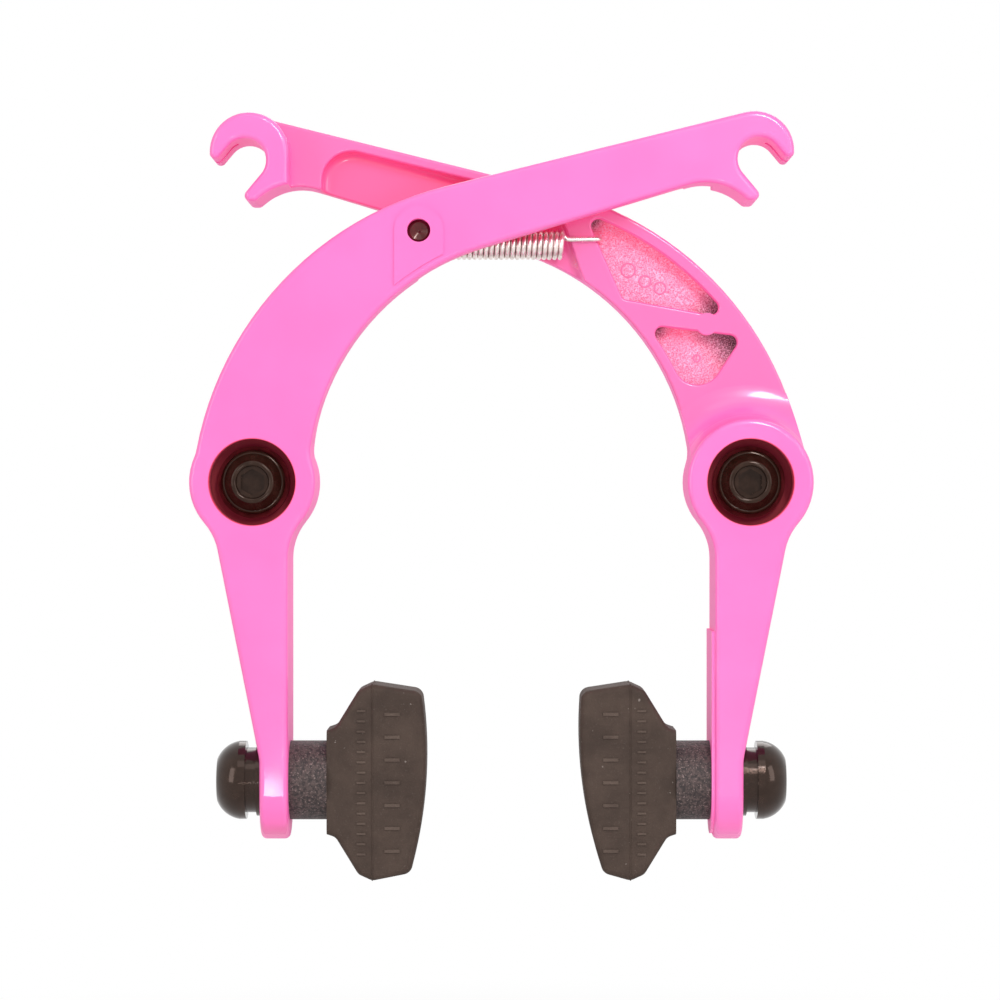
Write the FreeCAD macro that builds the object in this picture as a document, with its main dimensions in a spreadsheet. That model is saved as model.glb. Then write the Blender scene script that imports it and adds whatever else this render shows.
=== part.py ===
"""Bicycle u-brake: two crossing cast arms on pivot bolts, the return spring between them
and an adjustable pad on each arm. Millimetres, +Z up, the front faces -Y."""

import FreeCAD
import Part

import os
import re

import Sketcher
from FreeCAD import Rotation, Vector

# Driving dimensions. An arm is drawn from its own pivot axis: "across" runs inward from
# the axis and "height" up from it. Angles are in degrees.
SIZES = {
    "pivot_spacing": 85.0,
    "arm_depth": 16.0,
    "web_gap": 1.2,
    "end_play": 0.2,
    # Arch and upper arm
    "boss_radius": 10.8,
    "ramp_share": 0.7,
    "boss_blend": 6.0,
    "inner_radius": 42.0,
    "arch_reach": 9.6,
    "inner_height": -0.1,
    "arch_width": 15.0,
    "arch_shift": 5.1,
    "arch_drop": 4.8,
    "top_angle": 13.9,
    "under_angle": 16.8,
    "edge_round": 0.9,
    "web_round": 0.5,
    # Hook for the straddle cable's barrel end
    "hook_inset": 2.0,
    "hook_radius": 6.75,
    "hook_across": 85.7,
    "seat_radius": 3.7,
    "seat_shift": 0.8,
    "seat_drop": 1.42,
    "mouth_angle": 50.0,
    "claw_round": 0.9,
    "lip_length": 4.0,
    "lip_round": 1.0,
    "lip_angle": 40.0,
    "notch_reach": 4.55,
    "notch_radius": 10.0,
    "slit_width": 2.0,
    # Casting recesses on the inner side, with corners set by angles on the two arches
    "recess_depth": 3.4,
    "recess_corner": 1.3,
    "recess_edge": 0.4,
    "outer_rim": 2.2,
    "inner_rim": 1.8,
    "left_anchor_start_angle": 24.0,
    "left_anchor_foot_angle": 45.6,
    "right_anchor_start_angle": 19.6,
    "right_anchor_foot_angle": 43.4,
    "rib_above_angle": 52.6,
    "rib_below_angle": 56.6,
    "rib_inner_angle": 51.2,
    "recess_foot_angle": 74.0,
    "recess_foot_round": 4.2,
    "rib_boss_angle": 58.4,
    "rib_boss_inset": 10.5,
    "rib_boss_radius": 1.9,
    # Spring channel
    "channel_depth": 3.2,
    "channel_rim": 1.7,
    "channel_stop": 0.8,
    "channel_round": 5.2,
    "channel_edge": 0.4,
    "channel_cove": 1.5,
    "channel_gap": 0.3,
    "channel_wall_angle": 70.4,
    "peep_radius": 2.0,
    "peep_angle": 28.35,
    "peep_inset": 6.85,
    "peep_land": 4.2,
    "peep_land_rise": 0.35,
    "pin_inset": 1.6,
    "pin_dish": 0.5,
    # Lower arm
    "leg_outer": 1.2,
    "leg_inner": 6.1,
    "leg_land": 0.5,
    "leg_land_height": -25.5,
    "leg_taper_height": -47.4,
    "leg_taper_angle": 11.3,
    "leg_bottom": -61.5,
    "leg_blend": 10.0,
    "taper_blend": 8.0,
    "slot_clearance": 0.2,
    "slot_top": -48.2,
    "slot_bottom": -53.2,
    "washer_clearance": 0.4,
    # Pivot stack
    "bolt_radius": 3.0,
    "bolt_reach": 9.0,
    "bolt_waist": 0.2,
    "bolt_relief": 0.25,
    "bolt_chamfer": 0.6,
    "bolt_head_radius": 5.5,
    "bolt_head_depth": 3.6,
    "bolt_head_round": 0.6,
    "bolt_flange": 1.5,
    "bolt_dish_radius": 2.7,
    "bolt_dish_depth": 0.9,
    "bolt_lip_round": 0.55,
    "bolt_hex": 4.0,
    "bolt_hex_depth": 2.0,
    "bolt_clearance": 0.1,
    "sleeve_radius": 4.0,
    "running_clearance": 0.03,
    "bush_wall": 1.0,
    "bush_gap": 0.9,
    "counterbore_radius": 7.4,
    "counterbore_depth": 5.5,
    "washer_radius": 6.2,
    "washer_depth": 1.2,
    # Pad and its fastening
    "post_height": -51.4,
    "post_radius": 3.0,
    "post_head_radius": 5.5,
    "post_head_depth": 1.8,
    "post_embed": 9.0,
    "spacer_radius": 6.8,
    "spacer_length": 6.0,
    "flat_washer_depth": 0.85,
    "cup_washer_depth": 1.8,
    "pad_washer_radius": 6.2,
    "cup_washer_radius": 5.6,
    "nut_radius": 6.75,
    "nut_end_radius": 3.9,
    "nut_length": 5.0,
    "nut_rim": 1.2,
    "nut_dome": 5.0,
    "nut_bore_depth": 3.0,
    "nut_hex": 4.0,
    "nut_hex_depth": 1.4,
    "thread_clearance": 0.05,
    "pad_length": 33.7,
    "pad_width": 12.0,
    "pad_thickness": 16.2,
    "pad_parting": 7.8,
    "pad_neck": 17.8,
    "pad_shoulder": 1.5,
    "pad_shoulder_rise": 0.5,
    "pad_flare": 5.4,
    "pad_flare_drop": 1.1,
    "pad_end_taper": 1.3,
    "pad_crown": 76.0,
    "pad_corner": 1.8,
    "pad_round": 1.0,
    "left_pad_lean_angle": 3.4,
    "right_pad_lean_angle": 6.9,
    # Return spring
    "spring_rise": 0.9,
    "spring_radius": 2.6,
    "wire_radius": 0.43,
    "coil_pitch": 0.92,
    "coil_length": 21.16,
    "wire_rise": 1.0,
    "wire_bend": 0.9,
    "wire_drop": 2.4,
    "wire_gap": 0.1,
}

doc = FreeCAD.newDocument("UBrake")
sheet = doc.addObject("Spreadsheet::Sheet", "Sizes")
for row, (alias, size) in enumerate(SIZES.items(), start=1):
    sheet.set(f"A{row}", alias)
    sheet.set(f"B{row}", str(size))
    sheet.setAlias(f"B{row}", alias)
doc.recompute()


def cells(text):
    """The expression with each size's name pointed at its cell in the sheet."""
    return re.sub(r"\b[a-z]+(?:_[a-z]+)+\b", lambda found: "Sizes." + found.group(0), text)


def value(text):
    return float(sheet.evalExpression(text))


class Drawing:
    """A sketch on one of its body's origin planes, with every size bound to the sheet."""

    def __init__(self, body, name, plane, lift="0"):
        self.body = body
        self.sketch = body.newObject("Sketcher::SketchObject", name)
        support = [item for item in body.Origin.OriginFeatures if item.Role == plane]
        self.sketch.AttachmentSupport = [(support[0], "")]
        self.sketch.MapMode = "FlatFace"
        self.sketch.setExpression("AttachmentOffset.Base.z", cells(lift))

    def bind(self, constraint, text):
        index = self.sketch.addConstraint(constraint)
        self.sketch.setExpression(f"Constraints[{index}]", cells(text))

    def pin(self, element, point, across, up):
        self.bind(Sketcher.Constraint("DistanceX", -1, 1, element, point, value(across)), across)
        self.bind(Sketcher.Constraint("DistanceY", -1, 1, element, point, value(up)), up)

    def circle(self, across, up, radius):
        centre = Vector(value(across), value(up), 0)
        element = self.sketch.addGeometry(Part.Circle(centre, Vector(0, 0, 1), value(radius)))
        self.pin(element, 3, across, up)
        self.bind(Sketcher.Constraint("Radius", element, value(radius)), radius)
        return self

    def arc(self, start, stop, turn, radius):
        """An arc of at most half a circle; turn is 1 anticlockwise and -1 clockwise."""
        chord = stop - start
        leg = max(value(radius) ** 2 - chord.Length ** 2 / 4, 0) ** 0.5
        aside = Vector(-chord.y, chord.x, 0).normalize()
        centre = (start + stop) / 2 + aside * leg * turn
        ring = Part.Circle(centre, Vector(0, 0, 1), value(radius))
        first, last = (start, stop) if turn > 0 else (stop, start)
        return Part.ArcOfCircle(ring, ring.parameter(first), ring.parameter(last))

    def line(self, corners, closed=True):
        """A line through corners (across, up). A corner that goes on with (turn, radius)
        is left by an arc; turn is 1 anticlockwise and -1 clockwise."""
        spots = [Vector(value(corner[0]), value(corner[1]), 0) for corner in corners]
        stops = spots[1:] + spots[:1] if closed else spots[1:]
        ends = []
        for corner, start, stop in zip(corners, spots, stops):
            if len(corner) == 2:
                element = self.sketch.addGeometry(Part.LineSegment(start, stop))
                ends.append((element, 1, 2))
            else:
                turn, radius = corner[2:]
                element = self.sketch.addGeometry(self.arc(start, stop, turn, radius))
                ends.append((element, 1, 2) if turn > 0 else (element, 2, 1))
                self.bind(Sketcher.Constraint("Radius", element, value(radius)), radius)
        for corner, after in zip(corners, ends):
            self.pin(after[0], after[1], corner[0], corner[1])
        for before, after in zip(ends, ends[1:] + ends[:1] if closed else ends[1:]):
            self.sketch.addConstraint(
                Sketcher.Constraint("Coincident", before[0], before[2], after[0], after[1]))
        if not closed:
            self.pin(ends[-1][0], ends[-1][2], corners[-1][0], corners[-1][1])
        return self

    def rectangle(self, left, low, right, high):
        return self.line([(left, low), (right, low), (right, high), (left, high)])

    def hexagon(self, across, up, flats):
        corners = range(30, 390, 60)
        return self.line([(f"{across} + {flats} / sqrt(3) * cos({angle})",
                           f"{up} + {flats} / sqrt(3) * sin({angle})") for angle in corners])

    def feature(self, kind, name, **settings):
        made = self.body.newObject(kind, name)
        made.Profile = self.sketch
        for key, setting in settings.items():
            setattr(made, key, setting)
        return made

    def pad(self, name, length, away=False):
        made = self.feature("PartDesign::Pad", name, Reversed=away)
        made.setExpression("Length", cells(length))

    def revolve(self, name, axis):
        self.feature("PartDesign::Revolution", name, ReferenceAxis=(self.sketch, [axis]))

    def sweep(self, name, spine):
        edges = [f"Edge{index + 1}" for index in range(len(spine.sketch.Geometry))]
        self.feature("PartDesign::AdditivePipe", name, Spine=(spine.sketch, edges))

    def pocket(self, name, length, away=False):
        before = solid_volume(self.body)
        made = self.feature("PartDesign::Pocket", name, Reversed=away)
        made.setExpression("Length", cells(length))
        confirm_cut(self.body, name, before)

    def groove(self, name, axis, angle=360, away=False):
        before = solid_volume(self.body)
        self.feature("PartDesign::Groove", name, ReferenceAxis=(self.sketch, [axis]), Angle=angle,
                     Reversed=away)
        confirm_cut(self.body, name, before)


def solid_volume(body):
    doc.recompute()
    return body.Shape.Volume


def confirm_cut(body, name, before):
    if not solid_volume(body) < before - 1e-6:
        raise RuntimeError(f"{body.Label}: {name} takes nothing away")


def new_body(label, across="0", depth="0", up="0", turned=False):
    """A body placed in the brake's frame; turned swings it half round about the vertical."""
    body = doc.addObject("PartDesign::Body", label)
    body.Label = label
    if turned:
        body.Placement = FreeCAD.Placement(Vector(), Rotation(Vector(0, 0, 1), 180))
    for axis, text in zip("xyz", (across, depth, up)):
        body.setExpression(f".Placement.Base.{axis}", cells(text))
    return body


def round_edges(body, name, radius, wanted):
    """Fillet the edges of a body's last solid that answer to wanted(edge)."""
    doc.recompute()
    solid = body.Tip
    names = [f"Edge{index}" for index, edge in enumerate(solid.Shape.Edges, start=1) if wanted(edge)]
    if not names:
        raise RuntimeError(f"{body.Label}: {name} finds no edge")
    made = body.newObject("PartDesign::Fillet", name)
    made.Base = (solid, names)
    made.setExpression("Radius", cells(radius))
    doc.recompute()
    if not made.isValid() or not made.Shape.isValid():
        raise RuntimeError(f"{body.Label}: {name} failed on {names}")


def runs_deep(edge, spots=None):
    """True for a straight front-to-back edge, at one of the spots (x, z) if they are given."""
    if len(edge.Vertexes) != 2:
        return False
    first, last = [vertex.Point for vertex in edge.Vertexes]
    if abs(first.x - last.x) + abs(first.z - last.z) > 1e-4 or abs(first.y - last.y) < 0.5:
        return False
    return spots is None or any(abs(first.x - x) + abs(first.z - z) < 0.05 for x, z in spots)


def numbers(corner):
    return tuple(value(text) for text in corner[:2])


# Sizes that follow from the driving ones, and places on the arm, as expressions (across, height)
WEB_DEPTH = "(arm_depth - web_gap) / 2"
HOOK_DEPTH = "(arm_depth - hook_inset)"
BUSH_LENGTH = "(arm_depth - counterbore_depth - bush_gap) / 2"
OUTER_RADIUS = "(inner_radius + arch_width)"
INNER_ACROSS = "(inner_radius + arch_reach)"
OUTER_ACROSS = f"({INNER_ACROSS} - arch_shift)"
OUTER_HEIGHT = "(inner_height - arch_drop)"
SEAT_ACROSS = "(hook_across + seat_shift)"
TOP_TANGENT = (f"{OUTER_ACROSS} - {OUTER_RADIUS} * sin(top_angle)",
               f"{OUTER_HEIGHT} + {OUTER_RADIUS} * cos(top_angle)")
UNDER_TANGENT = (f"{INNER_ACROSS} - inner_radius * sin(under_angle)",
                 "inner_height + inner_radius * cos(under_angle)")


def on_top(across, inset="0"):
    """Height of the upper arm's top line at a place across, less an inset from the line."""
    run = f"({across} - ({TOP_TANGENT[0]}))"
    return f"{TOP_TANGENT[1]} + {run} * tan(top_angle) - ({inset}) / cos(top_angle)"


def on_under(across, inset="0"):
    """Height of the upper arm's under line at a place across, plus an inset from the line."""
    run = f"({across} - ({UNDER_TANGENT[0]}))"
    return f"{UNDER_TANGENT[1]} + {run} * tan(under_angle) + ({inset}) / cos(under_angle)"


def on_outer_rim(angle):
    radius = f"({OUTER_RADIUS} - outer_rim)"
    return f"{OUTER_ACROSS} - {radius} * sin({angle})", f"{OUTER_HEIGHT} + {radius} * cos({angle})"


def on_inner_rim(angle, inset="inner_rim"):
    radius = f"(inner_radius + {inset})"
    return f"{INNER_ACROSS} - {radius} * sin({angle})", f"inner_height + {radius} * cos({angle})"


def about_hook(radius, angle):
    """A point round the hook's disc, which touches the arm's top line."""
    height = on_top("hook_across", "hook_radius")
    return f"hook_across + ({radius}) * cos({angle})", f"{height} + ({radius}) * sin({angle})"


def beside_seat(along, out):
    """A point measured from the seat's centre, along the mouth and out towards the claw."""
    height = on_top("hook_across", "hook_radius")
    across = f"{SEAT_ACROSS} + ({along}) * cos(mouth_angle) + ({out}) * sin(mouth_angle)"
    up = f"{height} - seat_drop - ({along}) * sin(mouth_angle) + ({out}) * cos(mouth_angle)"
    return across, up


INNER_FACE = f"(arm_depth - {WEB_DEPTH})"
BOSS_RAMP = f"(ramp_share * {INNER_FACE})"
CHANNEL_WALL = f"({TOP_TANGENT[0]} + channel_gap)"
SPRING_HEIGHT = f"({UNDER_TANGENT[1]} + spring_rise)"
RECESS_FLOOR = f"{INNER_FACE} + recess_depth"
LAND_ACROSS = "(leg_inner + leg_land)"
MID_DEPTH = "-end_play - arm_depth / 2"


def claw_centre():
    """Centre of the claw's round tip, which touches the mouth's wall and the hook's disc."""
    along = "(seat_shift * cos(mouth_angle) + seat_drop * sin(mouth_angle))"
    out = "(seat_shift * sin(mouth_angle) - seat_drop * cos(mouth_angle))"
    reach = f"sqrt((hook_radius - claw_round) ^ 2 - ({out} + seat_radius + claw_round) ^ 2)"
    return beside_seat(f"{reach} - {along}", "seat_radius + claw_round")


HOOK_ROOT = "(hook_across - hook_radius)"
NOTCH_ACROSS = f"({HOOK_ROOT} - notch_reach)"
NOTCH_START = (NOTCH_ACROSS, on_under(NOTCH_ACROSS))


def on_notch(across):
    """Height of the hollow under the hook at a place across."""
    centre = f"{NOTCH_START[1]} - notch_radius * cos(under_angle)"
    run = f"({across} - {NOTCH_ACROSS} - notch_radius * sin(under_angle))"
    return f"{centre} + sqrt(notch_radius ^ 2 - {run} ^ 2)"


def hook_corners():
    disc = about_hook("0", "0")
    claw = claw_centre()
    stretch = "hook_radius / (hook_radius - claw_round)"
    lip = beside_seat("lip_length", "-seat_radius - lip_round")
    notch = (f"{NOTCH_ACROSS} + notch_radius * (sin(under_angle) + sin(lip_angle))",
             f"{NOTCH_START[1]} + notch_radius * (cos(lip_angle) - cos(under_angle))")
    lip_foot = f"{lip[1]} - lip_round"
    return [
        (f"{disc[0]} + ({claw[0]} - ({disc[0]})) * {stretch}",
         f"{disc[1]} + ({claw[1]} - ({disc[1]})) * {stretch}", 1, "hook_radius"),
        about_hook("hook_radius", "90 + top_angle") + (1, "hook_radius"),
        about_hook("hook_radius", "180"),
        (HOOK_ROOT, on_notch(HOOK_ROOT), -1, "notch_radius"),
        notch,
        (f"{notch[0]} + ({notch[1]} - ({lip_foot})) / tan(lip_angle)", lip_foot),
        (lip[0], lip_foot, 1, "lip_round"),
        beside_seat("lip_length", "-seat_radius"),
        beside_seat("0", "-seat_radius") + (-1, "seat_radius"),
        beside_seat("-seat_radius", "0") + (-1, "seat_radius"),
        beside_seat("0", "seat_radius"),
        (f"{claw[0]} - claw_round * sin(mouth_angle)",
         f"{claw[1]} - claw_round * cos(mouth_angle)", 1, "claw_round"),
    ]


def along(edge):
    """Four points spread along an edge."""
    span = edge.LastParameter - edge.FirstParameter
    return [edge.valueAt(edge.FirstParameter + share * span) for share in (0, 0.3, 0.7, 1)]


def at_depth(edge, depth):
    return all(abs(spot.y - depth) < 1e-4 for spot in along(edge))


def within_arm(spot, margin):
    """True for a point of the arch or upper arm that is further than the margin from its outline."""
    if spot.x < value(TOP_TANGENT[0]):
        outside = Vector(spot.x - value(OUTER_ACROSS), 0, spot.z - value(OUTER_HEIGHT)).Length
        above = value(OUTER_RADIUS) - outside
    else:
        above = value(on_top(f"{spot.x}")) - spot.z
    if spot.x < value(UNDER_TANGENT[0]):
        below = Vector(spot.x - value(INNER_ACROSS), 0, spot.z - value("inner_height")).Length
        below -= value("inner_radius")
    else:
        below = spot.z - value(on_under(f"{spot.x}"))
    return above > margin and below > margin and spot.x < value(HOOK_ROOT)


def cast_blank(body, start_angle, foot_angle):
    """The arm's outer form: arch and upper arm, ramped pivot boss, lower arm and hook."""
    boss = value("boss_radius")
    web_end = "hook_across - seat_radius - claw_round"
    Drawing(body, "web_outline", "XZ_Plane").line([
        (f"{OUTER_ACROSS} - sqrt({OUTER_RADIUS} ^ 2 - {OUTER_HEIGHT} ^ 2)", "0", -1, OUTER_RADIUS),
        TOP_TANGENT,
        about_hook("hook_radius", "90 + top_angle"),
        (web_end, on_notch(web_end), 1, "notch_radius"),
        NOTCH_START,
        UNDER_TANGENT + (1, "inner_radius"),
        (f"{INNER_ACROSS} - sqrt(inner_radius ^ 2 - inner_height ^ 2)", "0"),
    ]).pad("web", "arm_depth")
    Drawing(body, "boss_outline", "XZ_Plane").circle("0", "0", "boss_radius").pad("boss", "arm_depth")
    root = "-boss_radius / 2"
    Drawing(body, "leg_outline", "XZ_Plane").line([
        (f"leg_outer - ({root} - leg_taper_height) * tan(leg_taper_angle)", root),
        ("leg_outer", "leg_taper_height"),
        ("leg_outer", "leg_bottom"),
        ("leg_inner", "leg_bottom"),
        ("leg_inner", root),
    ]).pad("leg", "arm_depth")

    def on_boss(edge):
        middle = edge.CenterOfMass
        return runs_deep(edge) and abs(Vector(middle.x, 0, middle.z).Length - boss) < 0.01

    taper = [numbers(("leg_outer", "leg_taper_height"))]
    round_edges(body, "boss_blends", "boss_blend", lambda edge: on_boss(edge) and edge.CenterOfMass.z > 0)
    round_edges(body, "leg_blends", "leg_blend", lambda edge: on_boss(edge) and edge.CenterOfMass.z < 0)
    round_edges(body, "taper_blend", "taper_blend", lambda edge: runs_deep(edge, taper))
    foot = "arm_depth / 2"
    spare = "arm_depth / 4"
    Drawing(body, "foot_outline", "YZ_Plane").line([
        (spare, f"leg_bottom - {spare}"),
        (spare, f"leg_bottom + {foot}"),
        ("0", f"leg_bottom + {foot}", -1, foot),
        (f"-{foot}", "leg_bottom", -1, foot),
        ("-arm_depth", f"leg_bottom + {foot}"),
        (f"-arm_depth - {spare}", f"leg_bottom + {foot}"),
        (f"-arm_depth - {spare}", f"leg_bottom - {spare}"),
    ]).pocket("foot", "leg_inner + edge_round", away=True)
    recesses(body, start_angle, foot_angle)

    # The inner side comes down to the web, its edges are rounded, then a hollow ramp is cut up to the boss.
    reach = "2 * hook_across"
    ramp_end = f"(boss_radius + {BOSS_RAMP})"
    Drawing(body, "inner_side_outline", "XY_Plane").line([
        (ramp_end, "edge_round"),
        (ramp_end, f"-{INNER_FACE}"),
        (reach, f"-{INNER_FACE}"),
        (reach, "edge_round"),
    ]).groove("inner_side", "V_Axis", 180, away=True)
    inner = value(f"-{INNER_FACE}")
    round_edges(body, "web_edges", "web_round", lambda edge: at_depth(edge, inner) and all(
        not within_arm(spot, 0.01) for spot in along(edge)))
    Drawing(body, "ramp_outline", "XY_Plane").line([
        ("boss_radius", "edge_round"),
        ("boss_radius", f"{BOSS_RAMP} - {INNER_FACE}", 1, BOSS_RAMP),
        (ramp_end, f"-{INNER_FACE}"),
        (ramp_end, "edge_round"),
    ]).groove("ramp", "V_Axis", 180, away=True)

    hook = Drawing(body, "hook_outline", "XZ_Plane", "hook_inset")
    corners = hook_corners()
    hook.line(corners).pad("hook", HOOK_DEPTH)
    lip_corner = [numbers(corners[5])]
    round_edges(body, "lip_corner", "lip_round", lambda edge: runs_deep(edge, lip_corner))


def recesses(body, start_angle, foot_angle):
    """The two rough recesses, with the diagonal rib between them."""
    upper = [
        on_outer_rim(start_angle) + (1, f"{OUTER_RADIUS} - outer_rim"),
        on_outer_rim("rib_above_angle"),
        on_inner_rim(foot_angle),
    ]
    lower = [
        on_outer_rim("rib_below_angle"),
        on_inner_rim("recess_foot_angle") + (-1, "inner_radius + inner_rim"),
        on_inner_rim("rib_inner_angle"),
    ]
    for name, corners in (("upper_recess", upper), ("lower_recess", lower)):
        Drawing(body, f"{name}_outline", "XZ_Plane").line(corners).pocket(name, RECESS_FLOOR, away=True)
    sharp = [numbers(corner) for corner in upper + lower if corner is not lower[1]]
    round_edges(body, "recess_corners", "recess_corner", lambda edge: runs_deep(edge, sharp))
    foot = [numbers(lower[1])]
    round_edges(body, "recess_foot", "recess_foot_round", lambda edge: runs_deep(edge, foot))


def soften(body):
    """The casting's rounded outer edges, round the lower arm's foot too."""
    rims = [value(text) for text in ("0", "-arm_depth", "-hook_inset")]
    foot_top = value("leg_bottom + arm_depth / 2") + 1e-4

    def rim(edge):
        box = edge.BoundBox
        on_foot = box.ZMax < foot_top and box.XLength < 1e-4
        return on_foot or any(at_depth(edge, depth) for depth in rims)

    round_edges(body, "outer_edges", "edge_round", rim)


def hollows(body):
    """The recesses' rounded rims, the boss on the rib, and the coved spring channel."""
    inner = value(f"-{INNER_FACE}")
    ramp_end = value(f"boss_radius + {BOSS_RAMP}") + 0.01
    margin = value("channel_rim") / 2

    def rim(edge, depth):
        inside = all(within_arm(spot, margin) and Vector(spot.x, 0, spot.z).Length > ramp_end
                     for spot in along(edge)[1:3])
        return inside and at_depth(edge, depth)

    arch_end = value(TOP_TANGENT[0])
    round_edges(body, "recess_edges", "recess_edge",
                lambda edge: rim(edge, inner) and edge.BoundBox.XMax < arch_end)
    boss = Drawing(body, "rib_boss_outline", "XZ_Plane", RECESS_FLOOR)
    boss.circle(*on_inner_rim("rib_boss_angle", "rib_boss_inset"), "rib_boss_radius")
    boss.pad("rib_boss", "recess_depth", away=True)

    wall_top = on_top(CHANNEL_WALL, "channel_rim")
    fall = f"({wall_top} - ({UNDER_TANGENT[1]}) + inner_rim * 3)"
    below = "channel_depth * 2"
    channel_end = f"({NOTCH_ACROSS} - channel_stop)"
    channel = [
        (CHANNEL_WALL, wall_top),
        (f"{CHANNEL_WALL} - {fall} / tan(channel_wall_angle)", f"{wall_top} - {fall}"),
        (UNDER_TANGENT[0], f"{UNDER_TANGENT[1]} - {below}"),
        (channel_end, on_under(channel_end, f"-({below})")),
        (channel_end, on_top(channel_end, "channel_rim")),
    ]
    floor = f"({INNER_FACE} + channel_depth)"
    drawing = Drawing(body, "channel_outline", "XZ_Plane", INNER_FACE)
    drawing.line(channel).pocket("channel", "channel_depth", away=True)
    corners = [numbers(channel[0]), numbers(channel[4])]
    round_edges(body, "channel_corners", "channel_round", lambda edge: runs_deep(edge, corners))

    wall, top = numbers(channel[0])
    lean = value("tan(channel_wall_angle)")
    end = value(channel_end) + 0.01

    def in_channel(edge, depth):
        spots = along(edge)
        past_wall = all(spot.x > wall - (top - spot.z) / lean - 0.01 for spot in spots)
        return rim(edge, depth) and past_wall and max(spot.x for spot in spots) < end

    round_edges(body, "channel_cove", "channel_cove", lambda edge: in_channel(edge, value(f"-{floor}")))
    round_edges(body, "channel_edges", "channel_edge", lambda edge: in_channel(edge, inner))


def land(body):
    """The raised face that the right pad's spacer bears on."""
    foot = "(arm_depth / 2 - edge_round)"
    low = f"leg_bottom + edge_round + {foot}"
    Drawing(body, "land_outline", "YZ_Plane", "leg_inner").line([
        ("-edge_round", "leg_land_height"),
        ("edge_round - arm_depth", "leg_land_height"),
        ("edge_round - arm_depth", low, 1, foot),
        ("-arm_depth / 2", "leg_bottom + edge_round", 1, foot),
        ("-edge_round", low),
    ]).pad("land", "leg_land")


def machine(body, turned):
    """Bore, counterbore, pad slot with its washer seat, and cable slit."""
    bore = "sleeve_radius + running_clearance + bush_wall"
    Drawing(body, "bore_outline", "XZ_Plane").circle("0", "0", bore).pocket("bore", "arm_depth", away=True)
    counterbore = Drawing(body, "counterbore_outline", "XZ_Plane", "0" if turned else "arm_depth")
    counterbore.circle("0", "0", "counterbore_radius")
    counterbore.pocket("counterbore", "counterbore_depth", away=turned)

    def upright_slot(name, half, lift="0"):
        """A slot outline in the lower arm's side, for the post's travel."""
        middle = "-arm_depth / 2"
        return Drawing(body, f"{name}_outline", "YZ_Plane", lift).line([
            (f"{middle} + {half}", "slot_bottom"),
            (f"{middle} + {half}", "slot_top", 1, half),
            (middle, f"slot_top + {half}", 1, half),
            (f"{middle} - {half}", "slot_top"),
            (f"{middle} - {half}", "slot_bottom", 1, half),
            (middle, f"slot_bottom - {half}", 1, half),
        ])

    upright_slot("slot", "(post_radius + slot_clearance)").pocket(
        "slot", f"{LAND_ACROSS} + edge_round", away=True)
    upright_slot("washer_seat", "(pad_washer_radius + washer_clearance)", "leg_outer").pocket(
        "washer_seat", "boss_radius")

    reach = "hook_radius * 2"
    slit = Drawing(body, "slit_outline", "XZ_Plane", f"arm_depth - ({HOOK_DEPTH} + slit_width) / 2")
    slit.line([
        beside_seat("0", "0"),
        beside_seat(reach, "0"),
        beside_seat(reach, reach),
        beside_seat(f"-{reach} / 2", reach),
    ]).pocket("slit", "slit_width", away=True)


def arm(label, across, turned, start_angle, foot_angle):
    """One cast arm. Both are the same casting, one swung half round, with the counterbore
    cut from the brake's front."""
    body = new_body(label, across, "-end_play - arm_depth" if turned else "-end_play", "0", turned)
    cast_blank(body, start_angle, foot_angle)
    soften(body)
    hollows(body)
    if turned:
        land(body)
    machine(body, turned)
    return body


left_arm = arm("left_arm", "-pivot_spacing / 2", False, "left_anchor_start_angle", "left_anchor_foot_angle")
def beside_arch(across):
    """Height just above the inner arch's rounded front edge at a place across."""
    radius = "(inner_radius + 1.5 * edge_round)"
    return f"inner_height + sqrt({radius} ^ 2 - ({INNER_ACROSS} - ({across})) ^ 2)", radius


PEEP = on_inner_rim("peep_angle", "peep_inset")
left, right = f"{PEEP[0]} - peep_land", f"{PEEP[0]} + peep_land"
Drawing(left_arm, "peep_land_outline", "XZ_Plane", "arm_depth").line([
    (right, beside_arch(right)[0]),
    (right, PEEP[1], 1, "peep_land"),
    (PEEP[0], f"{PEEP[1]} + peep_land", 1, "peep_land"),
    (left, PEEP[1]),
    (left, beside_arch(left)[0], -1, beside_arch(left)[1]),
]).pad("peep_land", "peep_land_rise")
peep = Drawing(left_arm, "peep_outline", "XZ_Plane", "arm_depth + peep_land_rise")
peep.circle(*PEEP, "peep_radius").pocket("peep", f"{WEB_DEPTH} + peep_land_rise")
right_arm = arm("right_arm", "pivot_spacing / 2", True, "right_anchor_start_angle", "right_anchor_foot_angle")

# The pressed-in pin that fills the peep hole behind its dished head
pin = new_body("spring_pin", f"{PEEP[0]} - pivot_spacing / 2", "0", PEEP[1])
pin_front = "(end_play + arm_depth - pin_inset)"
Drawing(pin, "pin_outline", "XY_Plane").line([
    ("0", f"pin_dish - {pin_front}"),
    ("peep_radius - pin_dish", f"-{pin_front}"),
    ("peep_radius", f"pin_dish - {pin_front}"),
    ("peep_radius", f"-end_play - {INNER_FACE} - wire_gap"),
    ("0", f"-end_play - {INNER_FACE} - wire_gap"),
]).revolve("pin_turn", "V_Axis")
pieces = [left_arm, right_arm, pin]


def ring(label, across, inner, outer, back, front):
    """A plain ring about a pivot axis, between two distances in front of the seat."""
    body = new_body(label, across)
    Drawing(body, f"{label}_outline", "XY_Plane").rectangle(
        inner, f"-({front})", outer, f"-({back})").revolve(f"{label}_turn", "V_Axis")
    pieces.append(body)


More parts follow.
